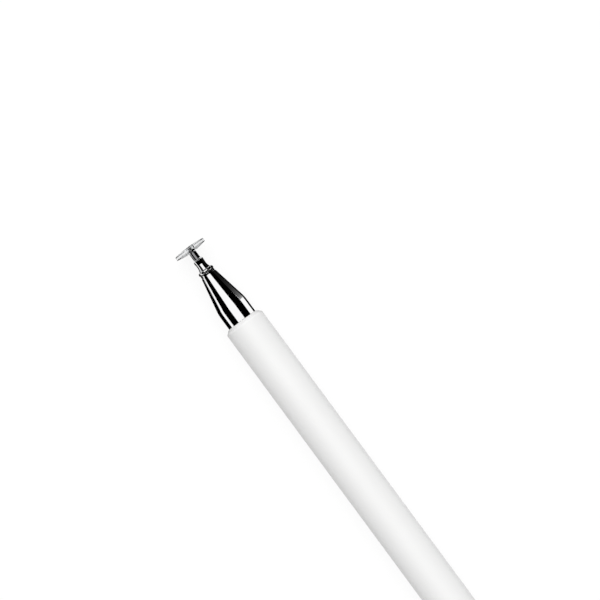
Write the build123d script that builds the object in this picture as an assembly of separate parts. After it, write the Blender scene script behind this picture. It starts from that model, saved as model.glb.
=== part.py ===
from build123d import *
import math
import os

# Disc-tip stylus pen, in millimetres. It lies along X with its tip towards +X, on a floor at Z = 0.
# Stations are places along the axis, counted forwards from the front rim of the barrel.

# Fits that several pieces share
glue_gap = 0.02
shank_relief = 0.02
cut_overrun = 1.0

# Spigots: the straight chromed ends that the cap is pushed on, alike at the nose and at the tail
spigot_diameter = 6.45
spigot_length = 3.7
seam_groove_width = 0.25
seam_groove_depth = 0.15

# Cap: a flush sleeve with a finger liner and a crown, posted on the tail
grip_clearance = 0.05
grip_pad_height = 0.28
grip_pad_length = 1.2
grip_pad_ramp = 0.35
liner_wall = 0.26
liner_ring_length = 4.0
liner_setback = 0.6
finger_count = 6
finger_length = 8.0
finger_slot_width = 0.6
finger_spring_gap = 0.11
cap_wall = 0.465
cap_head_room = 1.0
cap_seam = 0.15
cap_edge_round = 0.2
crown_shank_length = 2.5
crown_head_thickness = 1.2
crown_edge_round = 0.6

# Barrel: a tube stepped at both ends to seat the plugs
barrel_length = 115.0
barrel_seat_step = 0.25
front_lip = 0.25
front_chamfer_length = 0.72
front_shoulder_break = 0.11
rear_chamfer = 0.2

# Nose cone and tail plug
nose_seat_depth = 9.0
nose_cone_length = 7.7
nose_blend_radius = 7.0
nose_web = 4.5
plug_wall = 1.1
tail_seat_depth = 8.0
tail_web = 2.0
tail_edge_round = 0.5

# Nose bush: threaded insert with a flange on the tip of the nose cone
bush_wall = 0.37
bush_shank_length = 5.4
bush_flange_thickness = 0.4
bush_flange_setback = 0.06
bush_flange_undercut = 0.09
bush_edge_round = 0.05
nose_tip_wall = 0.48

# Nib: collar bead, flared neck, a front that widens to a chamfer, and a fine threaded shank
nib_thread_diameter = 1.6
nib_thread_clearance = 0.03
nib_shank_length = 4.5
nib_shank_point = 0.3
washer_thickness = 0.14
washer_setback = 0.04
washer_clearance = 0.04
collar_thickness = 0.72
collar_proud = 0.08
collar_edge_round = 0.33
neck_wall = 0.51
neck_length = 1.36
neck_flare_height = 0.23
neck_flare_length = 0.84
neck_flare_root = 0.1
neck_flare_round = 1.5
nib_head_swell = 0.07
nib_head_length = 0.9
nib_head_chamfer = 0.3
nib_head_chamfer_length = 0.36

# Ball stem
stem_shank_diameter = 1.0
stem_shank_length = 2.3
stem_bore_spare = 0.1
stem_fit = 0.01
stem_diameter = 1.5
stem_length = 1.74

# Ball joint: the disc rocks on the ball, with a thin conductive seat between them
ball_diameter = 0.7
ball_clearance = 0.02
lean_clearance = 0.02
rock_limit = 20.0
lip_wrap_angle = 28.0
seat_wall = 0.12
seat_half_angle = 65.0
seat_spare_angle = 2.0

# Hub: a clear ring that is bonded into the back of the disc and holds the ball in
hub_rear_diameter = 1.7
hub_front_diameter = 1.6
bond_gap = 0.01

# Clear disc: its diameter is what the liner lets through, and its back is countersunk for the leaning rod
disc_clearance = 0.105
disc_front_wall = 0.15
recess_depth = 0.33
recess_clearance = 0.05
disc_boss_wall = 0.25
disc_bevel_width = 0.85
disc_bevel_drop = 0.15
disc_rim_thickness = 0.7
disc_rim_round = 0.25

# Radii, from the spigot outwards: the posted cap is flush with the barrel
spigot_radius = spigot_diameter / 2
plug_radius = spigot_radius - shank_relief
barrel_seat_radius = spigot_radius + glue_gap
barrel_bore_radius = barrel_seat_radius - barrel_seat_step
grip_radius = spigot_radius + grip_clearance
liner_bore_radius = grip_radius + grip_pad_height
liner_radius = liner_bore_radius + liner_wall
cap_bore_radius = liner_radius + glue_gap
barrel_radius = cap_bore_radius + cap_wall
disc_radius = liner_bore_radius - disc_clearance

# Radii of the nose tip and the nib, from the thread outwards
nib_shank_radius = nib_thread_diameter / 2
bush_hole_radius = nib_shank_radius + nib_thread_clearance
bush_shank_radius = bush_hole_radius + bush_wall
nose_hole_radius = bush_shank_radius + glue_gap
nose_tip_radius = nose_hole_radius + nose_tip_wall
bush_flange_radius = nose_tip_radius - bush_flange_setback
washer_radius = bush_flange_radius - washer_setback
collar_radius = bush_flange_radius + collar_proud
stem_shank_radius = stem_shank_diameter / 2
stem_bore_radius = stem_shank_radius + stem_fit
neck_radius = stem_bore_radius + neck_wall
neck_flare_radius = neck_radius + neck_flare_height
nib_head_radius = neck_radius + nib_head_swell
stem_radius = stem_diameter / 2

# Radii of the ball joint
ball_radius = ball_diameter / 2
ball_pocket_radius = ball_radius + ball_clearance
seat_radius = ball_pocket_radius + seat_wall
seat_pocket_radius = seat_radius + ball_clearance
ledge_angle = seat_half_angle + rock_limit + seat_spare_angle
lip_angle = math.degrees(math.pi / 2) + lip_wrap_angle
lip_depth = ball_pocket_radius * math.sin(math.radians(lip_wrap_angle))
hub_rear_radius = hub_rear_diameter / 2
hub_front_radius = hub_front_diameter / 2

# The rod's end is tapered, and the disc's back hollowed, so far that the disc can lean both ways at once
lean = math.acos(math.cos(math.radians(rock_limit)) ** 2)
lip_lean = math.pi / 2 - math.radians(lip_wrap_angle) - lean
throat_radius = ball_pocket_radius * math.sin(lip_lean) - lean_clearance
throat_reach = ball_pocket_radius * math.cos(lip_lean) + lean_clearance
rod_reach = throat_reach + (stem_radius - throat_radius) * math.tan(lean)
recess_floor_radius = rod_reach * math.sin(lean) + stem_radius * math.cos(lean) + recess_clearance
recess_mouth_radius = recess_floor_radius + recess_depth * math.tan(lean)
disc_boss_radius = recess_mouth_radius + disc_boss_wall

# Stations from the barrel's front rim to the front of the disc
nose_tip = spigot_length + nose_cone_length
bush_front = nose_tip + bush_flange_thickness
washer_front = bush_front + washer_thickness
collar_front = washer_front + collar_thickness
neck_front = collar_front + neck_length
nib_front = neck_front + nib_head_length + nib_head_chamfer_length
disc_rear = nib_front + stem_length
hub_rear = disc_rear + recess_depth
ball_station = hub_rear + lip_depth
hub_front = ball_station + ball_pocket_radius * math.cos(math.radians(ledge_angle))
disc_front = ball_station + seat_pocket_radius + disc_front_wall

# Stations from the barrel's rear rim to the back of the cap
barrel_rear = -barrel_length
tail_end = barrel_rear - spigot_length
cap_mouth = barrel_rear - cap_seam
crown_inside = cap_mouth - disc_front - cap_head_room
cap_sleeve_end = crown_inside - crown_shank_length
crown_end = cap_sleeve_end - crown_head_thickness

# The origin is under the middle of the whole length, on the floor
middle_station = (disc_front + crown_end) / 2
on_floor = Pos(-middle_station, 0, barrel_radius)


def turned(*outline):
    """A solid turned about the pen's axis from the lines and arcs of a closed (station, radius) outline."""
    return revolve(make_face(outline), Axis.X)


def turned_corners(*corners):
    """A turned solid from corners given as (station, radius, rounding radius)."""
    points = [(station, radius) for station, radius, rounding in corners]
    roundings = [rounding for station, radius, rounding in corners]
    return revolve(make_face(FilletPolyline(*points, radius=roundings, close=True)), Axis.X)


def on_sphere(radius, angle):
    """A point of a sphere about the ball's centre, at an angle in degrees from straight ahead."""
    turn = math.radians(angle)
    return (ball_station + radius * math.cos(turn), radius * math.sin(turn))


def sphere_arc(radius, start, end):
    """An arc about the ball's centre between two angles from straight ahead."""
    middle = (start + end) / 2
    return ThreePointArc(on_sphere(radius, start), on_sphere(radius, middle), on_sphere(radius, end))


def make_barrel():
    """Stepped tube with a chamfer at both rims; the front one has its shoulder broken."""
    lip_radius = barrel_seat_radius + front_lip
    chamfer_height = barrel_radius - lip_radius
    broken = front_shoulder_break / math.hypot(front_chamfer_length, chamfer_height)
    return turned_corners(
        (0, barrel_seat_radius, 0),
        (0, lip_radius, 0),
        (front_chamfer_length * (broken - 1), barrel_radius - chamfer_height * broken, 0),
        (-front_chamfer_length - front_shoulder_break, barrel_radius, 0),
        (barrel_rear + rear_chamfer, barrel_radius, 0),
        (barrel_rear, barrel_radius - rear_chamfer, 0),
        (barrel_rear, barrel_seat_radius, 0),
        (barrel_rear + tail_seat_depth, barrel_seat_radius, 0),
        (barrel_rear + tail_seat_depth, barrel_bore_radius, 0),
        (-nose_seat_depth, barrel_bore_radius, 0),
        (-nose_seat_depth, barrel_seat_radius, 0),
    )


def make_nose_cone():
    """Hollow plug, straight spigot and cone, drilled at the tip for the bush."""
    hole_end = nose_tip - bush_shank_length
    recess_end = hole_end - nose_web
    groove_radius = spigot_radius - seam_groove_depth
    recess_radius = plug_radius - plug_wall
    return turned_corners(
        (-nose_seat_depth, recess_radius, 0),
        (-nose_seat_depth, plug_radius, 0),
        (-seam_groove_width, plug_radius, 0),
        (-seam_groove_width, groove_radius, 0),
        (0, groove_radius, 0),
        (0, spigot_radius, 0),
        (spigot_length, spigot_radius, nose_blend_radius),
        (nose_tip, nose_tip_radius, 0),
        (nose_tip, nose_hole_radius, 0),
        (hole_end, nose_hole_radius, 0),
        (hole_end, 0, 0),
        (recess_end, 0, 0),
        (recess_end, recess_radius, 0),
    )


def make_tail_plug():
    """Hollow plug with the same spigot as the nose, closed at its end."""
    seat_front = barrel_rear + tail_seat_depth
    groove_radius = spigot_radius - seam_groove_depth
    recess_radius = plug_radius - plug_wall
    recess_end = tail_end + tail_web
    return turned_corners(
        (seat_front, recess_radius, 0),
        (seat_front, plug_radius, 0),
        (barrel_rear + seam_groove_width, plug_radius, 0),
        (barrel_rear + seam_groove_width, groove_radius, 0),
        (barrel_rear, groove_radius, 0),
        (barrel_rear, spigot_radius, 0),
        (tail_end, spigot_radius, tail_edge_round),
        (tail_end, 0, 0),
        (recess_end, 0, 0),
        (recess_end, recess_radius, 0),
    )


def make_nose_bush():
    """Threaded insert: a shank in the cone's tip and an undercut flange on its face."""
    shank_end = nose_tip - bush_shank_length
    return turned_corners(
        (shank_end, bush_hole_radius, 0),
        (shank_end, bush_shank_radius, 0),
        (nose_tip, bush_shank_radius, 0),
        (nose_tip, bush_flange_radius - bush_flange_undercut, bush_edge_round),
        (bush_front, bush_flange_radius, bush_edge_round),
        (bush_front, bush_hole_radius, 0),
    )


def make_nib_washer():
    """Thin ring between the bush's flange and the nib's collar."""
    hole_radius = nib_shank_radius + washer_clearance
    return turned_corners(
        (bush_front, hole_radius, 0),
        (bush_front, washer_radius, 0),
        (washer_front, washer_radius, 0),
        (washer_front, hole_radius, 0),
    )


def make_nib_body():
    """Threaded shank, collar bead, flared neck and chamfered front, bored for the stem."""
    shank_end = washer_front - nib_shank_length
    bore_end = nib_front - stem_shank_length - stem_bore_spare
    return turned_corners(
        (shank_end, 0, 0),
        (shank_end, nib_shank_radius - nib_shank_point, 0),
        (shank_end + nib_shank_point, nib_shank_radius, 0),
        (washer_front, nib_shank_radius, 0),
        (washer_front, collar_radius, collar_edge_round),
        (collar_front, collar_radius, collar_edge_round),
        (collar_front, neck_flare_radius, neck_flare_root),
        (collar_front + neck_flare_length, neck_radius, neck_flare_round),
        (neck_front, neck_radius, 0),
        (neck_front + nib_head_length, nib_head_radius, 0),
        (nib_front, nib_head_radius - nib_head_chamfer, 0),
        (nib_front, stem_bore_radius, 0),
        (bore_end, stem_bore_radius, 0),
        (bore_end, 0, 0),
    )


def make_ball_stem():
    """Shank, rod and ball, with a neck that leaves room for the leaning disc."""
    throat_angle = math.degrees(math.pi - math.asin(throat_radius / ball_radius))
    ball_back = on_sphere(ball_radius, throat_angle)
    shank_end = nib_front - stem_shank_length
    return turned(
        Polyline(
            on_sphere(ball_radius, 0),
            (shank_end, 0),
            (shank_end, stem_shank_radius),
            (nib_front, stem_shank_radius),
            (nib_front, stem_radius),
            (ball_station - rod_reach, stem_radius),
            (ball_station - throat_reach, throat_radius),
            ball_back,
        ),
        sphere_arc(ball_radius, throat_angle, 0),
    )


def make_contact_seat():
    """Springy conductive cup between the front of the ball and the disc's pocket."""
    return turned(
        sphere_arc(ball_pocket_radius, 0, seat_half_angle),
        Line(on_sphere(ball_pocket_radius, seat_half_angle), on_sphere(seat_radius, seat_half_angle)),
        sphere_arc(seat_radius, seat_half_angle, 0),
        Line(on_sphere(seat_radius, 0), on_sphere(ball_pocket_radius, 0)),
    )


def make_disc_hub():
    """Ring with a lip that snaps over the back of the ball; the seat turns above its front."""
    return turned(
        sphere_arc(ball_pocket_radius, ledge_angle, lip_angle),
        Polyline(
            on_sphere(ball_pocket_radius, lip_angle),
            (hub_rear, hub_rear_radius),
            (hub_front, hub_front_radius),
            on_sphere(ball_pocket_radius, ledge_angle),
        ),
    )


def make_contact_disc():
    """Clear disc with a pocket for the seat, a socket for the hub and a countersunk back."""
    socket_front = hub_front + bond_gap
    pocket_angle = math.degrees(math.acos((socket_front - ball_station) / seat_pocket_radius))
    bevel_start = (disc_front, disc_radius - disc_bevel_width)
    rim_front = (disc_front - disc_bevel_drop, disc_radius)
    rim_rear = (rim_front[0] - disc_rim_thickness, disc_radius)
    disc = turned(
        Polyline(bevel_start, (disc_front, 0), on_sphere(seat_pocket_radius, 0)),
        sphere_arc(seat_pocket_radius, 0, pocket_angle),
        Polyline(
            on_sphere(seat_pocket_radius, pocket_angle),
            (socket_front, hub_front_radius + bond_gap),
            (hub_rear, hub_rear_radius + bond_gap),
            (hub_rear, recess_floor_radius),
            (disc_rear, recess_mouth_radius),
            (disc_rear, disc_boss_radius),
            rim_rear,
            rim_front,
        ),
        TangentArc(bevel_start, rim_front, tangent=(0, 1)),
    )
    rim = disc.edges().filter_by(GeomType.CIRCLE).group_by(lambda edge: edge.radius)[-1]
    return fillet(rim, disc_rim_round)


def make_cap_sleeve():
    """Plain tube of the cap, flush with the barrel."""
    return turned_corners(
        (cap_mouth, cap_bore_radius, 0),
        (cap_mouth, barrel_radius, cap_edge_round),
        (cap_sleeve_end, barrel_radius, cap_edge_round),
        (cap_sleeve_end, cap_bore_radius, 0),
    )


def make_cap_liner():
    """Sleeve with a ring that is glued in the cap and slotted fingers that grip a spigot."""
    tip = cap_mouth - liner_setback
    root = tip - finger_length
    ring_end = root - liner_ring_length
    finger_radius = liner_radius - finger_spring_gap
    sleeve = turned_corners(
        (tip, liner_bore_radius, 0),
        (tip, finger_radius, 0),
        (root, finger_radius, 0),
        (root, liner_radius, 0),
        (ring_end, liner_radius, 0),
        (ring_end, liner_bore_radius, 0),
        (tip - grip_pad_length - grip_pad_ramp, liner_bore_radius, 0),
        (tip - grip_pad_length, grip_radius, 0),
        (tip - grip_pad_ramp, grip_radius, 0),
    )
    slot_length = finger_length + cut_overrun
    slot_depth = liner_radius + cut_overrun
    slot = Pos(root + slot_length / 2, 0, slot_depth / 2) * Box(slot_length, finger_slot_width, slot_depth)
    for number in range(finger_count):
        sleeve -= Rot(360 * number / finger_count, 0, 0) * slot
    return sleeve


def make_cap_crown():
    """End piece of the cap: a head flush with the sleeve and a shank inside it."""
    shank_radius = cap_bore_radius - glue_gap
    return turned_corners(
        (crown_inside, 0, 0),
        (crown_inside, shank_radius, 0),
        (cap_sleeve_end, shank_radius, 0),
        (cap_sleeve_end, barrel_radius, cap_edge_round),
        (crown_end, barrel_radius, crown_edge_round),
        (crown_end, 0, 0),
    )


pieces = {
    "contact_disc": make_contact_disc,
    "disc_hub": make_disc_hub,
    "contact_seat": make_contact_seat,
    "ball_stem": make_ball_stem,
    "nib_body": make_nib_body,
    "nib_washer": make_nib_washer,
    "nose_bush": make_nose_bush,
    "nose_cone": make_nose_cone,
    "barrel": make_barrel,
    "tail_plug": make_tail_plug,
    "cap_sleeve": make_cap_sleeve,
    "cap_liner": make_cap_liner,
    "cap_crown": make_cap_crown,
}

os.makedirs("parts", exist_ok=True)
for name, make in pieces.items():
    export_step(on_floor * make(), f"parts/{name}.step")
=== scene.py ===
import math

import bmesh
import bpy
from bpy.props import FloatProperty, FloatVectorProperty, PointerProperty
from mathutils import Matrix, Vector


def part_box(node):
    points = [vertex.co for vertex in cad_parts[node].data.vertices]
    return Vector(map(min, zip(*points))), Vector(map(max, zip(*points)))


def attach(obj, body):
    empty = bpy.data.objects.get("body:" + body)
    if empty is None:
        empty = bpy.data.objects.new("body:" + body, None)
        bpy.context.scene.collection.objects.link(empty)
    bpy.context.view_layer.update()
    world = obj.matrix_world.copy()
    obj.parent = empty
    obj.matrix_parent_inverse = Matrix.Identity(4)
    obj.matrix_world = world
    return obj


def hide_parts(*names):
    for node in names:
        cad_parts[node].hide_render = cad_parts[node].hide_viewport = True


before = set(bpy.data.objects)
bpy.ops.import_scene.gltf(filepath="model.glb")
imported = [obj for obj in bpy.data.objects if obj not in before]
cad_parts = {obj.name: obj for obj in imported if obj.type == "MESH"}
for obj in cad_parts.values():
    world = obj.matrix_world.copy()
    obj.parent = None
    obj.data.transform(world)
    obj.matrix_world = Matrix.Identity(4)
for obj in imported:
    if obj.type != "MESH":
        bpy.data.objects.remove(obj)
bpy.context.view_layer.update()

bl_info = {
    "name": "Disc-Tip Stylus Pen",
    "version": (1, 0, 0),
    "blender": (4, 5, 0),
    "location": "3D View > Sidebar > Stylus",
    "description": "Turns the stylus pen's pieces, gives them their finishes and sets a white studio",
    "category": "Object",
}

PREFIX = "stylus_"

MM = 0.001
MICRON = 0.000001
TURN_STEPS = 144
ARC_STEPS = 8
BALL_STEPS = 24
THREAD_STEPS = 48
MERGE_DISTANCE = 0.1 * MICRON
THREAD_MERGE_DISTANCE = 2 * MICRON
SHARP_ANGLE = math.radians(35)
EDGE_BREAK = 0.04 * MM

# How far from a corner its shading stops, and at most which share of a short run.
GUARD = 0.03 * MM
GUARD_SHARE = 0.3

# The floor, and how much of full light reaches it in the open.
FLOOR_SIZE = 6.0
FLOOR_LIGHT = 0.9

# The darkest level of a fading card, and what is left of its grey after one fall.
CARD_BLACK = 0.006
CARD_FADE = 0.27

SENSOR_WIDTH = 36.0
CLIP_RANGE = (0.01, 50.0)

# One thread, as places along its pitch and heights from its core (0) to its crest (1).
THREAD_FORM = ((0.0, 0), (0.36, 1), (0.52, 1), (0.88, 0), (1.0, 0))


def ends(node):
    """Where a CAD node starts and ends along the pen."""
    low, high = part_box(node)
    return low.x, high.x


def outer_radius(node):
    """The largest radius of a turned CAD node."""
    low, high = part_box(node)
    return (high.z - low.z) / 2


BARREL_REAR, BARREL_FRONT = ends("barrel")
BARREL_RADIUS = outer_radius("barrel")
AXIS_HEIGHT = sum(corner.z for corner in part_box("barrel")) / 2


def length(name, description, default):
    """A size of the pen in metres."""
    return FloatProperty(
        name=name, description=description, default=default, precision=5, unit="LENGTH", subtype="DISTANCE"
    )


def angle(name, description, degrees):
    """An angle, given here in degrees."""
    return FloatProperty(
        name=name, description=description, default=math.radians(degrees), unit="ROTATION", subtype="ANGLE"
    )


def colour(name, description, default):
    """A linear colour."""
    return FloatVectorProperty(
        name=name, description=description, default=default, size=3, min=0.0, max=1.0, subtype="COLOR"
    )


def share(name, description, default):
    """A number from 0 to 1."""
    return FloatProperty(
        name=name, description=description, default=default, min=0.0, max=1.0, subtype="FACTOR"
    )


class StylusBarrel(bpy.types.PropertyGroup):
    """Sizes of the white barrel"""

    radius: length("Radius", "Outer radius of the barrel", BARREL_RADIUS)
    seat_radius: length("Seat Radius", "Radius of the seats for the two plugs", 3.245 * MM)
    bore_radius: length("Bore Radius", "Radius of the bore between the seats", 2.995 * MM)
    nose_seat_depth: length("Nose Seat Depth", "Depth of the seat at the front", 9.0 * MM)
    tail_seat_depth: length("Tail Seat Depth", "Depth of the seat at the rear", 8.0 * MM)
    front_lip: length("Front Lip", "Flat ring round the nose at the front rim", 0.25 * MM)
    chamfer: length("Chamfer", "Length of the chamfer at the front rim", 0.72 * MM)
    shoulder_round: length("Shoulder Rounding", "Rounding behind the chamfer", 0.5 * MM)
    rear_chamfer: length("Rear Chamfer", "Chamfer of the rear rim", 0.2 * MM)


class StylusNose(bpy.types.PropertyGroup):
    """Sizes of the chromed nose, the bush in its tip and the tail plug"""

    spigot_radius: length("Spigot Radius", "Radius of the straight ends that the cap grips", 3.225 * MM)
    spigot_length: length("Spigot Length", "Length of the straight ends", 3.7 * MM)
    shank_relief: length("Shank Relief", "How much thinner a plug is inside the barrel", 0.02 * MM)
    groove_width: length("Groove Width", "Width of the dark groove at the seam", 0.25 * MM)
    groove_depth: length("Groove Depth", "Depth of the groove at the seam", 0.15 * MM)
    blend_radius: length("Blend Radius", "Rounding between the spigot and the cone", 7.0 * MM)
    tip_radius: length("Tip Radius", "Radius of the cone's tip", 1.7 * MM)
    hole_radius: length("Hole Radius", "Radius of the hole for the bush", 1.22 * MM)
    hole_depth: length("Hole Depth", "Depth of the hole for the bush", 5.4 * MM)
    web: length("Web", "Solid metal behind the hole", 4.5 * MM)
    plug_wall: length("Plug Wall", "Wall of the plugs inside the barrel", 1.1 * MM)
    tail_web: length("Tail Web", "Thickness of the tail plug's end", 2.0 * MM)
    tail_round: length("Tail Rounding", "Rounding of the tail plug's end", 0.5 * MM)
    bush_shank_radius: length("Bush Shank Radius", "Radius of the bush inside the cone", 1.2 * MM)
    bush_hole_radius: length("Bush Hole Radius", "Radius of the threaded hole", 0.83 * MM)
    flange_radius: length("Flange Radius", "Radius of the bush's flange at its front", 1.64 * MM)
    bush_undercut: length("Bush Undercut", "How much narrower the flange is at its back", 0.09 * MM)
    bush_round: length("Bush Rounding", "Rounding of the bush's flange", 0.05 * MM)


class StylusNib(bpy.types.PropertyGroup):
    """Sizes of the nib and its washer"""

    washer_hole_radius: length("Washer Hole Radius", "Radius of the washer's hole", 0.84 * MM)
    collar_length: length("Collar Length", "Thickness of the collar bead", 0.72 * MM)
    collar_round: length("Collar Rounding", "Rounding of the collar bead", 0.33 * MM)
    flare_radius: length("Flare Radius", "Radius of the neck at the collar", 1.25 * MM)
    flare_length: length("Flare Length", "Length over which the neck narrows", 0.84 * MM)
    flare_root: length("Flare Root", "Rounding between the flare and the collar", 0.1 * MM)
    flare_round: length("Flare Rounding", "Rounding between the flare and the neck", 1.5 * MM)
    neck_radius: length("Neck Radius", "Radius of the neck", 1.02 * MM)
    head_radius: length("Head Radius", "Radius of the nib's front", 1.09 * MM)
    head_length: length("Head Length", "Length over which the nib's front widens", 0.9 * MM)
    chamfer_length: length("Chamfer Length", "Length of the chamfer at the nib's front", 0.36 * MM)
    chamfer_height: length("Chamfer Height", "Height of the chamfer at the nib's front", 0.3 * MM)
    bore_radius: length("Bore Radius", "Radius of the bore for the stem", 0.51 * MM)
    bore_depth: length("Bore Depth", "Depth of the bore for the stem", 2.4 * MM)
    thread_radius: length("Thread Radius", "Radius over the thread's crests", 0.8 * MM)
    thread_depth: length("Thread Depth", "Height of the thread", 0.19 * MM)
    thread_pitch: length("Thread Pitch", "Advance of the thread in one turn", 0.35 * MM)
    point: length("Point", "Plain point behind the thread", 0.3 * MM)


class StylusBallJoint(bpy.types.PropertyGroup):
    """Sizes of the stem, its ball, the seat and the hub"""

    stem_radius: length("Stem Radius", "Radius of the rod", 0.75 * MM)
    shank_radius: length("Shank Radius", "Radius of the rod inside the nib", 0.5 * MM)
    throat_radius: length("Throat Radius", "Radius of the waist behind the ball", 0.187 * MM)
    throat_reach: length("Throat Reach", "Distance of the waist from the ball's centre", 0.3267 * MM)
    taper: length("Taper", "Length of the taper from the rod to the waist", 0.2993 * MM)
    ball_radius: length("Ball Radius", "Radius of the ball", 0.35 * MM)
    pocket_radius: length("Pocket Radius", "Radius of the hub's and the seat's hollow for the ball", 0.37 * MM)
    seat_wall: length("Seat Wall", "Thickness of the seat", 0.12 * MM)
    seat_angle: angle("Seat Angle", "Half the angle that the seat covers", 65)
    ledge_angle: angle("Ledge Angle", "Where the hub's hollow starts", 87)
    lip_angle: angle("Lip Angle", "Where the hub's lip ends behind the ball", 118)
    hub_rear_radius: length("Hub Rear Radius", "Radius of the hub at its back", 0.85 * MM)
    hub_front_radius: length("Hub Front Radius", "Radius of the hub at its front", 0.8 * MM)


class StylusDisc(bpy.types.PropertyGroup):
    """Sizes of the clear disc"""

    bond_gap: length("Bond Gap", "Gap between the disc and the hub", 0.01 * MM)
    front_wall: length("Front Wall", "Thickness of the disc in front of the seat", 0.15 * MM)
    recess_floor: length("Recess Floor", "Radius of the countersink at the hub", 1.006 * MM)
    recess_mouth: length("Recess Mouth", "Radius of the countersink at the disc's back", 1.1814 * MM)
    boss_radius: length("Boss Radius", "Radius of the flat round the countersink", 1.4314 * MM)
    bevel_width: length("Bevel Width", "Width of the rounded front edge", 0.85 * MM)
    bevel_drop: length("Bevel Drop", "How far the front edge falls back", 0.15 * MM)
    bevel_round: length("Bevel Rounding", "Rounding between the front and its edge", 0.62083 * MM)
    boss_round: length("Boss Rounding", "Rounding of the flat at the back", 0.4 * MM)
    rim_thickness: length("Rim Thickness", "Thickness of the rim", 0.7 * MM)
    rim_round: length("Rim Rounding", "Rounding of the rim", 0.1 * MM)


class StylusCap(bpy.types.PropertyGroup):
    """Sizes of the cap"""

    bore_radius: length("Bore Radius", "Inner radius of the sleeve", 3.835 * MM)
    edge_round: length("Edge Rounding", "Rounding of the sleeve's rims", 0.2 * MM)
    crown_shank: length("Crown Shank", "Radius of the crown inside the sleeve", 3.815 * MM)
    crown_round: length("Crown Rounding", "Rounding of the crown's end", 0.6 * MM)


class StylusFinish(bpy.types.PropertyGroup):
    """Colours of the pen"""

    paint: colour("Paint", "Satin white paint of the barrel and the cap", (0.90, 0.90, 0.895))
    chrome: colour("Chrome", "Bright chrome of the nose, the nib and the crown", (0.955, 0.957, 0.96))
    steel: colour("Steel", "Polished steel of the stem", (0.30, 0.30, 0.31))
    bronze: colour("Bronze", "Blackened bronze of the contact seat", (0.06, 0.055, 0.05))
    nylon: colour("Nylon", "Natural nylon of the cap's liner", (0.87, 0.86, 0.82))
    black: colour("Black Nylon", "Black nylon of the washer", (0.02, 0.02, 0.022))
    clear: colour("Clear Plastic", "Tint of the clear disc", (0.84, 0.85, 0.855))


class StylusStudio(bpy.types.PropertyGroup):
    """Light, floor and camera"""

    ambient: share("Ambient", "Level of the light from all round", 0.44)
    key_strength: FloatProperty(name="Key", description="Strength of the soft key light", default=2.1, min=0.0)
    key_softness: angle("Key Softness", "Apparent size of the key light", 70)
    key_side: angle("Key Side", "Lean of the key light to the pen's right", 9)
    key_front: angle("Key Front", "Lean of the key light towards the pen's tip", 24)
    floor_bounce: share("Floor Bounce", "How much of its light the floor throws back", 0.5)
    floor_shadow: share("Floor Shadow", "How much of the shadow the white floor shows", 0.14)
    camera_distance: length("Camera Distance", "Distance of the camera", 0.6667)
    camera_lens: FloatProperty(name="Lens", description="Focal length in millimetres", default=200.0, min=1.0)
    camera_turn: angle("Camera Turn", "Turn of the pen in the picture", 53.57)
    camera_lean: angle("Camera Lean", "How far the tip points away from the camera", 1.2)
    target_back: length("Target Back", "How far the picture's middle is behind the barrel's front", 3.53 * MM)
    target_right: length("Target Right", "How far the picture's middle is to the pen's right", 11.69 * MM)


class StylusCards(bpy.types.PropertyGroup):
    """Dark cards, whose mirror images are the stripes on the chrome"""

    distance: length("Distance", "Distance of the long cards and the rear card from the pen", 0.4)
    floor_gap: length("Floor Gap", "Height of the lying cards above the floor", 0.15 * MM)
    long_start: length("Long Start", "How far behind the pen's middle the long cards start", 0.5)
    long_length: length("Long Length", "Length of the long cards", 1.3)
    right_top: angle("Right Top", "Upper edge of the right card, from straight up", 25)
    right_foot: angle("Right Foot", "Lower edge of the right card, from straight up", 81.4)
    left_top: angle("Left Top", "Upper edge of the left card, from straight up", 29.2)
    left_foot: angle("Left Foot", "Lower edge of the left card, from straight up", 78.2)
    under_right: length("Under Right", "How far the card under the nose reaches to the right", 10.5 * MM)
    under_left: length("Under Left", "How far the card under the nose reaches to the left", 36 * MM)
    under_length: length("Under Length", "Length of the card under the nose", 17.1 * MM)
    ahead_start: length("Ahead Start", "Start of the cards ahead, from the barrel's front", 20 * MM)
    ahead_half: length("Ahead Half Width", "Half the width of the cards ahead", 60 * MM)
    ahead_length: length("Ahead Length", "Length of the near card, unseen through the disc", 9 * MM)
    beyond_length: length("Beyond Length", "Length of the far card, seen through the disc", 70 * MM)
    side_start: length("Side Start", "Start of the card beside the nose, from the barrel's front", 4.6 * MM)
    side_distance: length("Side Distance", "Distance of the card beside the nose from the axis", 9 * MM)
    side_top: length("Side Top", "Height of the card beside the nose", 7.5 * MM)
    side_length: length("Side Length", "Length of the card beside the nose", 22 * MM)
    side_grey: share("Side Grey", "Level at the rear of the card beside the nose", 0.4)
    side_fall: length("Side Fall", "Length over which that card darkens", 2 * MM)
    tail_half: length("Tail Half Width", "Half the width of the card behind the cap", 36 * MM)
    tail_length: length("Tail Length", "Length of the card behind the cap", 60 * MM)
    tail_grey: share("Tail Grey", "Level at the rear of the card behind the cap", 0.9)
    tail_fall: length("Tail Fall", "Length over which that card darkens", 30 * MM)
    rear_start: length("Rear Start", "How far behind the barrel's front the rear card starts", 6 * MM)
    rear_half: length("Rear Half Width", "Half the width of the rear card", 0.3)
    rear_length: length("Rear Length", "How far back the rear card goes", 0.5)
    rear_drop: length("Rear Drop", "How far down the rear card goes", 0.35)
    front_distance: length("Front Distance", "Place of the front card along the pen", 0.5)
    front_half: length("Front Half Width", "Half the width of the front card", 0.5)
    front_height: length("Front Height", "Height of the front card", 0.25)


GROUPS = {
    "stylus_barrel": StylusBarrel,
    "stylus_nose": StylusNose,
    "stylus_nib": StylusNib,
    "stylus_ball_joint": StylusBallJoint,
    "stylus_disc": StylusDisc,
    "stylus_cap": StylusCap,
    "stylus_finish": StylusFinish,
    "stylus_studio": StylusStudio,
    "stylus_cards": StylusCards,
}


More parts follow.
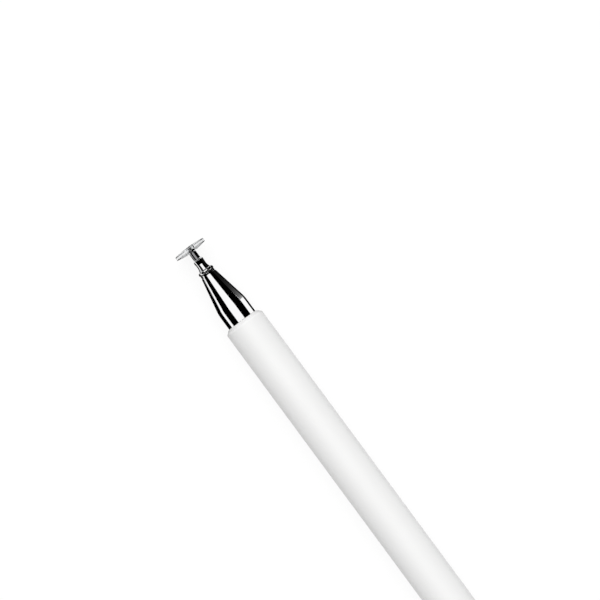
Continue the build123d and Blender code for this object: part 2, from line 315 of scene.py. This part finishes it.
class Socket:
    """A node's output. Arithmetic on it adds Math nodes."""

    def __init__(self, bench, output):
        self.bench = bench
        self.output = output

    def math(self, operation, *values):
        """A Math node on these values."""
        return self.bench.node("ShaderNodeMath", {"operation": operation}, dict(enumerate(values)))

    def __add__(self, other):
        return self.math("ADD", self, other)

    __radd__ = __add__

    def __sub__(self, other):
        return self.math("SUBTRACT", self, other)

    def __rsub__(self, other):
        return self.math("SUBTRACT", other, self)

    def __mul__(self, other):
        return self.math("MULTIPLY", self, other)

    __rmul__ = __mul__

    def __truediv__(self, other):
        return self.math("DIVIDE", self, other)

    def __rtruediv__(self, other):
        return self.math("DIVIDE", other, self)

    def __pow__(self, other):
        return self.math("POWER", self, other)

    def __rpow__(self, other):
        return self.math("POWER", other, self)

    def __or__(self, other):
        return self.math("MAXIMUM", self, other)

    __ror__ = __or__


class Bench:
    """The nodes of one material or world."""

    def __init__(self, owner):
        owner.use_nodes = True
        self.owner = owner
        self.tree = owner.node_tree
        self.tree.nodes.clear()

    def node(self, kind, settings=None, sockets=None, output=0):
        """Adds a node, sets it up, fills or links its sockets and returns one of its outputs."""
        made = self.tree.nodes.new(kind)
        for name, value in (settings or {}).items():
            setattr(made, name, value)
        for key, value in (sockets or {}).items():
            if isinstance(value, Socket):
                self.tree.links.new(value.output, made.inputs[key])
            else:
                made.inputs[key].default_value = value
        return Socket(self, made.outputs[output]) if made.outputs else made

    def place(self):
        """Object coordinates."""
        return self.node("ShaderNodeTexCoord", output="Object")

    def coordinate(self, where, axis):
        """One coordinate of a place."""
        return self.node("ShaderNodeSeparateXYZ", None, {0: where}, axis)

    def noise(self, where, scale, detail=2.0):
        """A soft random pattern from 0 to 1, with so many grains in a metre."""
        return self.node("ShaderNodeTexNoise", None, {"Vector": where, "Scale": scale, "Detail": detail})

    def rings(self, where, scale):
        """Fine turning marks round the pen's axis, with so many in a metre."""
        x, y, z = (self.coordinate(where, axis) for axis in "XYZ")
        height = z - AXIS_HEIGHT
        along = x + (y * y + height * height) ** 0.5
        return self.node(
            "ShaderNodeTexNoise",
            {"noise_dimensions": "1D"},
            {"W": along, "Scale": scale, "Detail": 3.0},
        )

    def blend(self, factor, first, second):
        """A colour between two colours."""
        return self.node(
            "ShaderNodeMix",
            {"data_type": "RGBA"},
            {0: factor, 6: (*first, 1.0), 7: (*second, 1.0)},
            output=2,
        )

    def bump(self, height, distance):
        """A surface normal from a height pattern of this depth in metres."""
        return self.node("ShaderNodeBump", None, {"Height": height, "Distance": distance})

    def surface(self, shader):
        """Links the shader that the material or world shows."""
        kind = "World" if isinstance(self.owner, bpy.types.World) else "Material"
        self.node("ShaderNodeOutput" + kind, None, {"Surface": shader})

    def principled(self, **sockets):
        """Finishes the material with a Principled shader; an underscore stands for a space."""
        values = {name.replace("_", " "): value for name, value in sockets.items()}
        self.surface(self.node("ShaderNodeBsdfPrincipled", None, values))
        return self.owner


def finish(name):
    """The bench of a new material, with a name that no material of the CAD has."""
    return Bench(bpy.data.materials.new(PREFIX + name))


def tint(base, factor):
    """A colour made lighter or darker."""
    return [min(1.0, channel * factor) for channel in base]


def satin_white_paint(base):
    """Sprayed white paint: faint orange peel, a fine powdery satin and slightly uneven gloss."""
    bench = finish("satin_white_paint")
    where = bench.place()
    cloud = bench.noise(where, 70.0)
    peel = bench.noise(where, 1100.0)
    powder = bench.noise(where, 14000.0, 1.0)
    return bench.principled(
        Base_Color=bench.blend(cloud, tint(base, 0.985), tint(base, 1.012)),
        Roughness=0.36 + 0.08 * bench.noise(where, 420.0) + 0.05 * powder,
        Normal=bench.bump(peel + 0.12 * powder, 4 * MICRON),
    )


def bright_chrome(base):
    """Plated metal: a mirror with faint turning marks and thin smudges."""
    bench = finish("bright_chrome")
    where = bench.place()
    smudge = bench.noise(where, 650.0, 4.0)
    turned = bench.rings(where, 9000.0)
    return bench.principled(
        Base_Color=bench.blend(smudge, tint(base, 0.97), tint(base, 1.02)),
        Metallic=1.0,
        Roughness=0.01 + 0.03 * smudge + 0.015 * turned,
        Normal=bench.bump(turned, 0.02 * MICRON),
    )


def polished_steel(base):
    """Turned steel, polished less than the plated pieces."""
    bench = finish("polished_steel")
    where = bench.place()
    turned = bench.rings(where, 16000.0)
    return bench.principled(
        Base_Color=bench.blend(turned, tint(base, 0.93), tint(base, 1.05)),
        Metallic=1.0,
        Roughness=0.03 + 0.04 * turned,
        Normal=bench.bump(turned, 0.05 * MICRON),
    )


def spring_bronze(base):
    """Pressed bronze with a dull bloom."""
    bench = finish("spring_bronze")
    where = bench.place()
    bloom = bench.noise(where, 3500.0, 4.0)
    return bench.principled(
        Base_Color=bench.blend(bloom, tint(base, 0.8), tint(base, 1.1)),
        Metallic=1.0,
        Roughness=0.22 + 0.2 * bloom,
        Normal=bench.bump(bloom, 1.5 * MICRON),
    )


def moulded_nylon(name, base, depth):
    """Moulded nylon with a fine spark-eroded skin; light goes in so deep."""
    bench = finish(name)
    where = bench.place()
    cloud = bench.noise(where, 900.0, 3.0)
    skin = bench.noise(where, 16000.0, 2.0)
    return bench.principled(
        Base_Color=bench.blend(cloud, tint(base, 0.96), tint(base, 1.03)),
        Roughness=0.42 + 0.12 * skin,
        Subsurface_Weight=depth,
        Subsurface_Scale=0.4 * MM,
        Normal=bench.bump(skin, 2 * MICRON),
    )


def natural_nylon(base):
    """Milky nylon."""
    return moulded_nylon("natural_nylon", base, 0.25)


def black_nylon(base):
    """Nylon dyed black."""
    return moulded_nylon("black_nylon", base, 0.0)


def clear_plastic(base):
    """Clear moulded plastic with faint flow rings and rubbed patches."""
    bench = finish("clear_plastic")
    where = bench.place()
    rubbed = bench.noise(where, 1500.0, 4.0)
    flow = bench.rings(where, 5000.0)
    return bench.principled(
        Base_Color=bench.blend(rubbed, tint(base, 0.985), tint(base, 1.01)),
        Roughness=0.015 + 0.05 * rubbed,
        IOR=1.49,
        Transmission_Weight=1.0,
        Normal=bench.bump(flow, 0.1 * MICRON),
    )


def point(station, radius):
    """A point of an outline: a place along the pen, straight above its axis."""
    return Vector((station, 0.0, AXIS_HEIGHT + radius))


def round_corner(mesh, before, here, after, rounding):
    """Draws one corner of an outline, rounded as an arc, and returns its two end vertices."""
    inward, outward = (here - before).normalized(), (after - here).normalized()
    turn = inward.angle(outward)
    start = mesh.verts.new(here - inward * rounding * math.tan(turn / 2))
    if not rounding:
        return start, start
    side = inward.cross(outward).normalized()
    swept = bmesh.ops.spin(
        mesh,
        geom=[start],
        cent=start.co + side.cross(inward) * rounding,
        axis=side,
        angle=turn,
        steps=ARC_STEPS,
    )
    return start, next(item for item in swept["geom_last"] if isinstance(item, bmesh.types.BMVert))


def arc(mesh, centre, start, turn):
    """Draws an arc about a point of the axis, from a vertex backwards, and returns its end."""
    swept = bmesh.ops.spin(
        mesh, geom=[start], cent=point(centre, 0.0), axis=(0, -1, 0), angle=turn, steps=BALL_STEPS
    )
    return next(item for item in swept["geom_last"] if isinstance(item, bmesh.types.BMVert))


def guarded_edge(mesh, first, last):
    """Draws a straight run with a point close to each end, so that the shading of a corner stays there."""
    guard = min(GUARD / (last.co - first.co).length, GUARD_SHARE)
    between = [mesh.verts.new(first.co.lerp(last.co, part)) for part in (guard, 1.0 - guard)]
    chain = [first, *between, last]
    for pair in zip(chain, chain[1:]):
        mesh.edges.new(pair)


def draw_outline(mesh, corners, closed=True):
    """Draws an outline of (station, radius, rounding) corners, left open along the axis; returns its end."""
    places = [point(station, radius) for station, radius, rounding in corners]
    count = len(corners)
    following_of = [(number + 1) % count for number in range(count)]
    runs = [
        round_corner(mesh, places[number - 1], places[number], places[following_of[number]], corners[number][2])
        for number in range(count)
    ]
    for number, following in enumerate(following_of if closed else following_of[:-1]):
        if corners[number][1] or corners[following][1]:
            guarded_edge(mesh, runs[number][1], runs[following][0])
    return runs[-1][1]


def turn_outline(mesh):
    """Turns what is drawn in the mesh once round the pen's axis into a closed skin."""
    bmesh.ops.spin(
        mesh,
        geom=mesh.verts[:] + mesh.edges[:],
        cent=point(0.0, 0.0),
        axis=(1, 0, 0),
        angle=math.tau,
        steps=TURN_STEPS,
        use_merge=True,
    )
    bmesh.ops.remove_doubles(mesh, verts=mesh.verts, dist=MERGE_DISTANCE)


def to_object(mesh, name):
    """A smooth object from a finished mesh, with sharp edges kept."""
    bmesh.ops.recalc_face_normals(mesh, faces=mesh.faces)
    for face in mesh.faces:
        face.smooth = True
    data = bpy.data.meshes.new(name)
    mesh.to_mesh(data)
    mesh.free()
    data.set_sharp_from_angle(angle=SHARP_ANGLE)
    piece = bpy.data.objects.new(name, data)
    bpy.context.scene.collection.objects.link(piece)
    return piece


def turned_piece(name, corners):
    """A turned piece from the corners of its outline."""
    mesh = bmesh.new()
    draw_outline(mesh, corners)
    turn_outline(mesh)
    return to_object(mesh, name)


def dress(piece, node, body, material):
    """Puts a piece in the place of its CAD node."""
    piece.data.materials.append(material)
    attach(piece, body)
    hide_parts(node)


FINISHES = {
    "paint": satin_white_paint,
    "chrome": bright_chrome,
    "steel": polished_steel,
    "bronze": spring_bronze,
    "nylon": natural_nylon,
    "black": black_nylon,
    "clear": clear_plastic,
}


def material_of(context, kind):
    """A finish in its set colour, made when it is first needed."""
    maker = FINISHES[kind]
    made = bpy.data.materials.get(PREFIX + maker.__name__)
    return made or maker(list(getattr(context.scene.stylus_finish, kind)))


class StylusOperator(bpy.types.Operator):
    """Makes pieces of the pen"""

    bl_options = {"REGISTER", "UNDO"}


class STYLUS_OT_barrel(StylusOperator):
    """Make the white barrel"""

    bl_idname = "stylus.barrel"
    bl_label = "Barrel"

    def execute(self, context):
        size = context.scene.stylus_barrel
        nose_seat = BARREL_FRONT - size.nose_seat_depth
        tail_seat = BARREL_REAR + size.tail_seat_depth
        barrel = turned_piece(
            "barrel_painted",
            [
                (BARREL_FRONT, size.seat_radius, EDGE_BREAK),
                (BARREL_FRONT, size.seat_radius + size.front_lip, EDGE_BREAK),
                (BARREL_FRONT - size.chamfer, size.radius, size.shoulder_round),
                (BARREL_REAR + size.rear_chamfer, size.radius, EDGE_BREAK),
                (BARREL_REAR, size.radius - size.rear_chamfer, EDGE_BREAK),
                (BARREL_REAR, size.seat_radius, EDGE_BREAK),
                (tail_seat, size.seat_radius, 0),
                (tail_seat, size.bore_radius, 0),
                (nose_seat, size.bore_radius, 0),
                (nose_seat, size.seat_radius, 0),
            ],
        )
        dress(barrel, "barrel", "pen", material_of(context, "paint"))
        return {"FINISHED"}


class STYLUS_OT_nose(StylusOperator):
    """Make the chromed nose cone and the bush in its tip"""

    bl_idname = "stylus.nose"
    bl_label = "Nose"

    def execute(self, context):
        size = context.scene.stylus_nose
        chrome = material_of(context, "chrome")
        rear, tip = ends("nose_cone")
        plug = size.spigot_radius - size.shank_relief
        recess = plug - size.plug_wall
        groove = BARREL_FRONT - size.groove_width
        hole = tip - size.hole_depth
        cone = turned_piece(
            "nose_cone_plated",
            [
                (rear, recess, EDGE_BREAK),
                (rear, plug, EDGE_BREAK),
                (groove, plug, 0),
                (groove, size.spigot_radius - size.groove_depth, 0),
                (BARREL_FRONT, size.spigot_radius - size.groove_depth, 0),
                (BARREL_FRONT, size.spigot_radius, EDGE_BREAK),
                (BARREL_FRONT + size.spigot_length, size.spigot_radius, size.blend_radius),
                (tip, size.tip_radius, EDGE_BREAK),
                (tip, size.hole_radius, EDGE_BREAK),
                (hole, size.hole_radius, 0),
                (hole, 0, 0),
                (hole - size.web, 0, 0),
                (hole - size.web, recess, 0),
            ],
        )
        dress(cone, "nose_cone", "pen", chrome)
        shank, front = ends("nose_bush")
        bush = turned_piece(
            "nose_bush_plated",
            [
                (shank, size.bush_hole_radius, EDGE_BREAK),
                (shank, size.bush_shank_radius, EDGE_BREAK),
                (tip, size.bush_shank_radius, 0),
                (tip, size.flange_radius - size.bush_undercut, size.bush_round),
                (front, size.flange_radius, size.bush_round),
                (front, size.bush_hole_radius, EDGE_BREAK),
            ],
        )
        dress(bush, "nose_bush", "pen", chrome)
        return {"FINISHED"}


class STYLUS_OT_nib(StylusOperator):
    """Make the nib with its thread and the washer behind its collar"""

    bl_idname = "stylus.nib"
    bl_label = "Nib"

    def execute(self, context):
        size = context.scene.stylus_nib
        seat, washer_front = ends("nib_washer")
        washer_radius = outer_radius("nib_washer")
        washer = turned_piece(
            "nib_washer_moulded",
            [
                (seat, size.washer_hole_radius, EDGE_BREAK),
                (seat, washer_radius, EDGE_BREAK),
                (washer_front, washer_radius, EDGE_BREAK),
                (washer_front, size.washer_hole_radius, EDGE_BREAK),
            ],
        )
        dress(washer, "nib_washer", "washer", material_of(context, "black"))

        end, front = ends("nib_body")
        collar = outer_radius("nib_body")
        collar_front = washer_front + size.collar_length
        head = front - size.chamfer_length
        core = size.thread_radius - size.thread_depth
        bore = front - size.bore_depth
        mesh = bmesh.new()
        draw_outline(
            mesh,
            [
                (end, 0, 0),
                (end, core - size.point, EDGE_BREAK),
                (end + size.point, core, 0),
                (washer_front, core, 0),
                (washer_front, collar, size.collar_round),
                (collar_front, collar, size.collar_round),
                (collar_front, size.flare_radius, size.flare_root),
                (collar_front + size.flare_length, size.neck_radius, size.flare_round),
                (head - size.head_length, size.neck_radius, EDGE_BREAK),
                (head, size.head_radius, EDGE_BREAK),
                (front, size.head_radius - size.chamfer_height, EDGE_BREAK),
                (front, size.bore_radius, EDGE_BREAK),
                (bore, size.bore_radius, 0),
                (bore, 0, 0),
            ],
        )
        turn_outline(mesh)
        self.cut_thread(mesh, size, end + size.point, washer_front, core)
        nib = to_object(mesh, "nib_body_plated")
        dress(nib, "nib_body", "nib", material_of(context, "chrome"))
        return {"FINISHED"}

    def cut_thread(self, mesh, size, start, end, core):
        """Winds one ridge of thread round the core, from its point to the washer."""
        pitch = size.thread_pitch
        drawn = [
            mesh.verts.new(point(start + place * pitch, core + height * size.thread_depth))
            for place, height in THREAD_FORM
        ]
        edges = [mesh.edges.new(pair) for pair in zip(drawn, drawn[1:])]
        turns = math.floor((end - start) / pitch) - 1
        before = set(mesh.verts) - set(drawn)
        bmesh.ops.spin(
            mesh,
            geom=drawn + edges,
            cent=point(0.0, 0.0),
            axis=(1, 0, 0),
            dvec=(pitch / THREAD_STEPS, 0.0, 0.0),
            angle=math.tau * turns,
            steps=THREAD_STEPS * turns,
        )
        ridge = [vert for vert in mesh.verts if vert not in before]
        bmesh.ops.remove_doubles(mesh, verts=ridge, dist=THREAD_MERGE_DISTANCE)
        rims = [edge for edge in mesh.edges if edge.is_boundary]
        bmesh.ops.holes_fill(mesh, edges=rims, sides=0)


class STYLUS_OT_ball_joint(StylusOperator):
    """Make the stem with its ball, the contact seat and the hub"""

    bl_idname = "stylus.ball_joint"
    bl_label = "Ball Joint"

    def execute(self, context):
        size = context.scene.stylus_ball_joint
        shank, ball_front = ends("ball_stem")
        shoulder = ends("nib_body")[1]
        centre = ball_front - size.ball_radius
        throat = centre - size.throat_reach

        mesh = bmesh.new()
        waist = draw_outline(
            mesh,
            [
                (shank, 0, 0),
                (shank, size.shank_radius, EDGE_BREAK),
                (shoulder, size.shank_radius, 0),
                (shoulder, size.stem_radius, EDGE_BREAK),
                (throat - size.taper, size.stem_radius, EDGE_BREAK),
                (throat, size.throat_radius, 0),
            ],
            closed=False,
        )
        crown = mesh.verts.new(point(ball_front, 0.0))
        back = arc(mesh, centre, crown, math.pi - math.asin(size.throat_radius / size.ball_radius))
        mesh.edges.new((back, waist))
        turn_outline(mesh)
        stem = to_object(mesh, "ball_stem_polished")
        dress(stem, "ball_stem", "nib", material_of(context, "steel"))

        mesh = bmesh.new()
        skins = (size.pocket_radius, size.pocket_radius + size.seat_wall)
        poles = [mesh.verts.new(point(centre + radius, 0.0)) for radius in skins]
        mesh.edges.new([arc(mesh, centre, pole, size.seat_angle) for pole in poles])
        turn_outline(mesh)
        seat = to_object(mesh, "contact_seat_pressed")
        dress(seat, "contact_seat", "seat", material_of(context, "bronze"))

        hub_rear, hub_front = ends("disc_hub")
        mesh = bmesh.new()
        ledge = mesh.verts.new(
            point(
                centre + size.pocket_radius * math.cos(size.ledge_angle),
                size.pocket_radius * math.sin(size.ledge_angle),
            )
        )
        lip = arc(mesh, centre, ledge, size.lip_angle - size.ledge_angle)
        rear_rim = mesh.verts.new(point(hub_rear, size.hub_rear_radius))
        front_rim = mesh.verts.new(point(hub_front, size.hub_front_radius))
        for pair in ((lip, rear_rim), (rear_rim, front_rim), (front_rim, ledge)):
            mesh.edges.new(pair)
        turn_outline(mesh)
        hub = to_object(mesh, "disc_hub_clear")
        dress(hub, "disc_hub", "disc", material_of(context, "clear"))
        return {"FINISHED"}


class STYLUS_OT_disc(StylusOperator):
    """Make the clear disc"""

    bl_idname = "stylus.disc"
    bl_label = "Clear Disc"

    def execute(self, context):
        size = context.scene.stylus_disc
        joint = context.scene.stylus_ball_joint
        rear, front = ends("contact_disc")
        radius = outer_radius("contact_disc")
        hub_rear, hub_front = ends("disc_hub")
        bore = joint.hub_front_radius + size.bond_gap
        bore_floor = front - size.front_wall
        rim_front = front - size.bevel_drop
        disc = turned_piece(
            "contact_disc_clear",
            [
                (front, 0, 0),
                (front, radius - size.bevel_width, size.bevel_round),
                (rim_front, radius, size.rim_round),
                (rim_front - size.rim_thickness, radius, size.rim_round),
                (rear, size.boss_radius, size.boss_round),
                (rear, size.recess_mouth, 0),
                (hub_rear, size.recess_floor, 0),
                (hub_rear, joint.hub_rear_radius + size.bond_gap, 0),
                (hub_front, bore, 0),
                (bore_floor, bore, 0),
                (bore_floor, 0, 0),
            ],
        )
        dress(disc, "contact_disc", "disc", material_of(context, "clear"))
        return {"FINISHED"}


class STYLUS_OT_cap(StylusOperator):
    """Make the tail plug and the cap that is posted on it"""

    bl_idname = "stylus.cap"
    bl_label = "Tail and Cap"

    def execute(self, context):
        size = context.scene.stylus_cap
        nose = context.scene.stylus_nose
        chrome = material_of(context, "chrome")
        tail, seat = ends("tail_plug")
        plug = nose.spigot_radius - nose.shank_relief
        recess = plug - nose.plug_wall
        groove = BARREL_REAR + nose.groove_width
        plug_piece = turned_piece(
            "tail_plug_plated",
            [
                (seat, recess, EDGE_BREAK),
                (seat, plug, EDGE_BREAK),
                (groove, plug, 0),
                (groove, nose.spigot_radius - nose.groove_depth, 0),
                (BARREL_REAR, nose.spigot_radius - nose.groove_depth, 0),
                (BARREL_REAR, nose.spigot_radius, EDGE_BREAK),
                (tail, nose.spigot_radius, nose.tail_round),
                (tail, 0, 0),
                (tail + nose.tail_web, 0, 0),
                (tail + nose.tail_web, recess, 0),
            ],
        )
        dress(plug_piece, "tail_plug", "pen", chrome)

        sleeve_end, mouth = ends("cap_sleeve")
        radius = outer_radius("cap_sleeve")
        sleeve = turned_piece(
            "cap_sleeve_painted",
            [
                (mouth, size.bore_radius, EDGE_BREAK),
                (mouth, radius, size.edge_round),
                (sleeve_end, radius, size.edge_round),
                (sleeve_end, size.bore_radius, EDGE_BREAK),
            ],
        )
        dress(sleeve, "cap_sleeve", "cap", material_of(context, "paint"))

        crown_end, inside = ends("cap_crown")
        crown = turned_piece(
            "cap_crown_plated",
            [
                (inside, 0, 0),
                (inside, size.crown_shank, EDGE_BREAK),
                (sleeve_end, size.crown_shank, 0),
                (sleeve_end, radius, size.edge_round),
                (crown_end, radius, size.crown_round),
                (crown_end, 0, 0),
            ],
        )
        dress(crown, "cap_crown", "cap", chrome)

        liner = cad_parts["cap_liner"]
        liner.data.materials.clear()
        liner.data.materials.append(material_of(context, "nylon"))
        return {"FINISHED"}


class STYLUS_OT_stage(StylusOperator):
    """Set the white floor, the light, the black cards and the camera"""

    bl_idname = "stylus.stage"
    bl_label = "Stage"

    def execute(self, context):
        scene = context.scene
        studio = scene.stylus_studio
        scene.view_settings.view_transform = "Standard"
        self.set_world(scene, studio)
        self.lay_floor(scene, studio)
        self.hang_cards(scene, scene.stylus_cards)
        self.set_key(scene, studio)
        self.set_camera(scene, studio)
        return {"FINISHED"}

    def seen(self, bench):
        """1 for what the camera, a mirror or a clear piece sees, and 0 for what lights the pen."""
        path = [
            bench.node("ShaderNodeLightPath", output=f"Is {kind} Ray")
            for kind in ("Camera", "Glossy", "Transmission")
        ]
        return path[0] | path[1] | path[2]

    def set_world(self, scene, studio):
        """White all round to look at, and a plain level of light on the pen."""
        scene.world = bpy.data.worlds.new("white_studio")
        bench = Bench(scene.world)
        level = studio.ambient + (1.0 - studio.ambient) * self.seen(bench)
        bench.surface(bench.node("ShaderNodeBackground", None, {"Color": (1, 1, 1, 1), "Strength": level}))

    def add_mesh(self, scene, mesh, name, material):
        """An object of the stage from a mesh."""
        data = bpy.data.meshes.new(name)
        mesh.to_mesh(data)
        mesh.free()
        data.materials.append(material)
        made = bpy.data.objects.new(name, data)
        scene.collection.objects.link(made)
        return made

    def lay_floor(self, scene, studio):
        """A white floor that shows a faint shadow."""
        bench = finish("white_floor")
        bounce = bench.node("ShaderNodeBsdfDiffuse", None, {"Color": (*[studio.floor_bounce] * 3, 1)})
        shaded = bench.node("ShaderNodeBsdfDiffuse", None, {"Color": (*[studio.floor_shadow] * 3, 1)})
        glow = bench.node("ShaderNodeEmission", None, {"Strength": 1.0 - FLOOR_LIGHT * studio.floor_shadow})
        white = bench.node("ShaderNodeAddShader", None, {0: shaded, 1: glow})
        bench.surface(bench.node("ShaderNodeMixShader", None, {0: self.seen(bench), 1: bounce, 2: white}))
        mesh = bmesh.new()
        bmesh.ops.create_grid(mesh, x_segments=4, y_segments=4, size=FLOOR_SIZE)
        self.add_mesh(scene, mesh, "floor", bench.owner)

    def add_card(self, scene, material, name, edge, sweep, through=True):
        """A card that mirrors see, and clear pieces if it shows through them: an edge, swept along."""
        mesh = bmesh.new()
        drawn = mesh.edges.new([mesh.verts.new(end) for end in edge])
        swept = bmesh.ops.extrude_edge_only(mesh, edges=[drawn])
        moved = [item for item in swept["geom"] if isinstance(item, bmesh.types.BMVert)]
        bmesh.ops.translate(mesh, verts=moved, vec=sweep)
        card = self.add_mesh(scene, mesh, name, material)
        card.visible_camera = False
        card.visible_diffuse = False
        card.visible_shadow = False
        card.visible_transmission = through

    def black_card(self):
        """Black card."""
        bench = finish("black_card")
        bench.surface(bench.node("ShaderNodeEmission", None, {"Strength": 0.0}))
        return bench.owner

    def fading_card(self, name, start, grey, fall):
        """Card that fades forwards along the pen, from grey to nearly black."""
        bench = finish(name)
        along = bench.coordinate(bench.place(), "X")
        level = CARD_BLACK + grey * CARD_FADE ** ((along - start) / fall)
        bench.surface(bench.node("ShaderNodeEmission", None, {"Color": level}))
        return bench.owner

    def hang_cards(self, scene, size):
        """Dark cards that draw the stripes on the chrome, as in a product studio."""
        black = self.black_card()

        def long_card(name, *turns):
            """A card along the whole pen, between two turns from straight up."""
            edge = [
                (
                    -size.long_start,
                    -size.distance * math.sin(turn),
                    AXIS_HEIGHT + size.distance * math.cos(turn),
                )
                for turn in turns
            ]
            self.add_card(scene, black, name, edge, (size.long_length, 0.0, 0.0))

        def across(station, right, left, height):
            """An edge across the pen."""
            return [(station, -right, height), (station, left, height)]

        long_card("card_right", size.right_top, size.right_foot)
        long_card("card_left", -size.left_top, -size.left_foot)

        under = across(BARREL_FRONT, size.under_right, size.under_left, size.floor_gap)
        self.add_card(scene, black, "card_under", under, (size.under_length, 0.0, 0.0), through=False)

        start = BARREL_FRONT + size.ahead_start
        ahead = across(start, size.ahead_half, size.ahead_half, size.floor_gap)
        self.add_card(scene, black, "card_ahead", ahead, (size.ahead_length, 0.0, 0.0), through=False)
        beyond = across(start + size.ahead_length, size.ahead_half, size.ahead_half, size.floor_gap)
        self.add_card(scene, black, "card_beyond", beyond, (size.beyond_length, 0.0, 0.0))

        start = BARREL_FRONT + size.side_start
        side = [(start, -size.side_distance, height) for height in (size.floor_gap, size.side_top)]
        shaded = self.fading_card("side_card", start, size.side_grey, size.side_fall)
        self.add_card(scene, shaded, "card_side", side, (size.side_length, 0.0, 0.0))

        start = ends("cap_sleeve")[0] - size.tail_length
        tail = across(start, size.tail_half, size.tail_half, size.floor_gap)
        shaded = self.fading_card("tail_card", start, size.tail_grey, size.tail_fall)
        self.add_card(scene, shaded, "card_behind", tail, (size.tail_length, 0.0, 0.0))

        rear = across(BARREL_FRONT - size.rear_start, size.rear_half, size.rear_half, size.distance)
        self.add_card(scene, black, "card_rear", rear, (-size.rear_length, 0.0, -size.rear_drop))

        front = across(size.front_distance, size.front_half, size.front_half, size.floor_gap)
        self.add_card(scene, black, "card_front", front, (0.0, 0.0, size.front_height))

    def set_key(self, scene, studio):
        """One large soft light, overhead, a little to the right and towards the tip."""
        lamp = bpy.data.lights.new("key", "SUN")
        lamp.energy = studio.key_strength
        lamp.angle = studio.key_softness
        key = bpy.data.objects.new("key", lamp)
        scene.collection.objects.link(key)
        key.rotation_euler = (studio.key_side, studio.key_front, 0.0)
        key.visible_glossy = False
        key.visible_transmission = False

    def set_camera(self, scene, studio):
        """The photograph's view: straight down on the pen, with its tip towards the upper left."""
        lens = bpy.data.cameras.new("camera")
        lens.lens = studio.camera_lens
        lens.sensor_width = SENSOR_WIDTH
        lens.clip_start, lens.clip_end = CLIP_RANGE
        camera = bpy.data.objects.new("camera", lens)
        scene.collection.objects.link(camera)
        back = Vector((-math.sin(studio.camera_lean), 0.0, math.cos(studio.camera_lean)))
        level_up = Vector((math.sin(studio.camera_turn), -math.cos(studio.camera_turn), 0.0))
        up = (level_up - back * level_up.dot(back)).normalized()
        right = up.cross(back)
        target = Vector((BARREL_FRONT - studio.target_back, -studio.target_right, AXIS_HEIGHT))
        turn = Matrix((right, up, back)).transposed()
        camera.matrix_world = Matrix.Translation(target + back * studio.camera_distance) @ turn.to_4x4()
        scene.camera = camera


OPERATORS = [
    STYLUS_OT_stage,
    STYLUS_OT_barrel,
    STYLUS_OT_nose,
    STYLUS_OT_nib,
    STYLUS_OT_ball_joint,
    STYLUS_OT_disc,
    STYLUS_OT_cap,
]


class STYLUS_PT_sidebar(bpy.types.Panel):
    """Lists the pen's pieces and settings"""

    bl_idname = "STYLUS_PT_sidebar"
    bl_label = "Stylus Pen"
    bl_space_type = "VIEW_3D"
    bl_region_type = "UI"
    bl_category = "Stylus"

    def draw(self, context):
        for operator in OPERATORS:
            self.layout.operator(operator.bl_idname)
        for name, group in GROUPS.items():
            box = self.layout.box()
            box.label(text=group.__doc__)
            for entry in group.__annotations__:
                box.prop(getattr(context.scene, name), entry)


CLASSES = [*GROUPS.values(), *OPERATORS, STYLUS_PT_sidebar]


def register():
    for entry in CLASSES:
        bpy.utils.register_class(entry)
    for name, group in GROUPS.items():
        setattr(bpy.types.Scene, name, PointerProperty(type=group))


def unregister():
    for name in GROUPS:
        delattr(bpy.types.Scene, name)
    for entry in reversed(CLASSES):
        bpy.utils.unregister_class(entry)


def main():
    register()
    bpy.ops.stylus.stage()
    bpy.ops.stylus.barrel()
    bpy.ops.stylus.nose()
    bpy.ops.stylus.nib()
    bpy.ops.stylus.ball_joint()
    bpy.ops.stylus.disc()
    bpy.ops.stylus.cap()


if __name__ == "__main__":
    main()
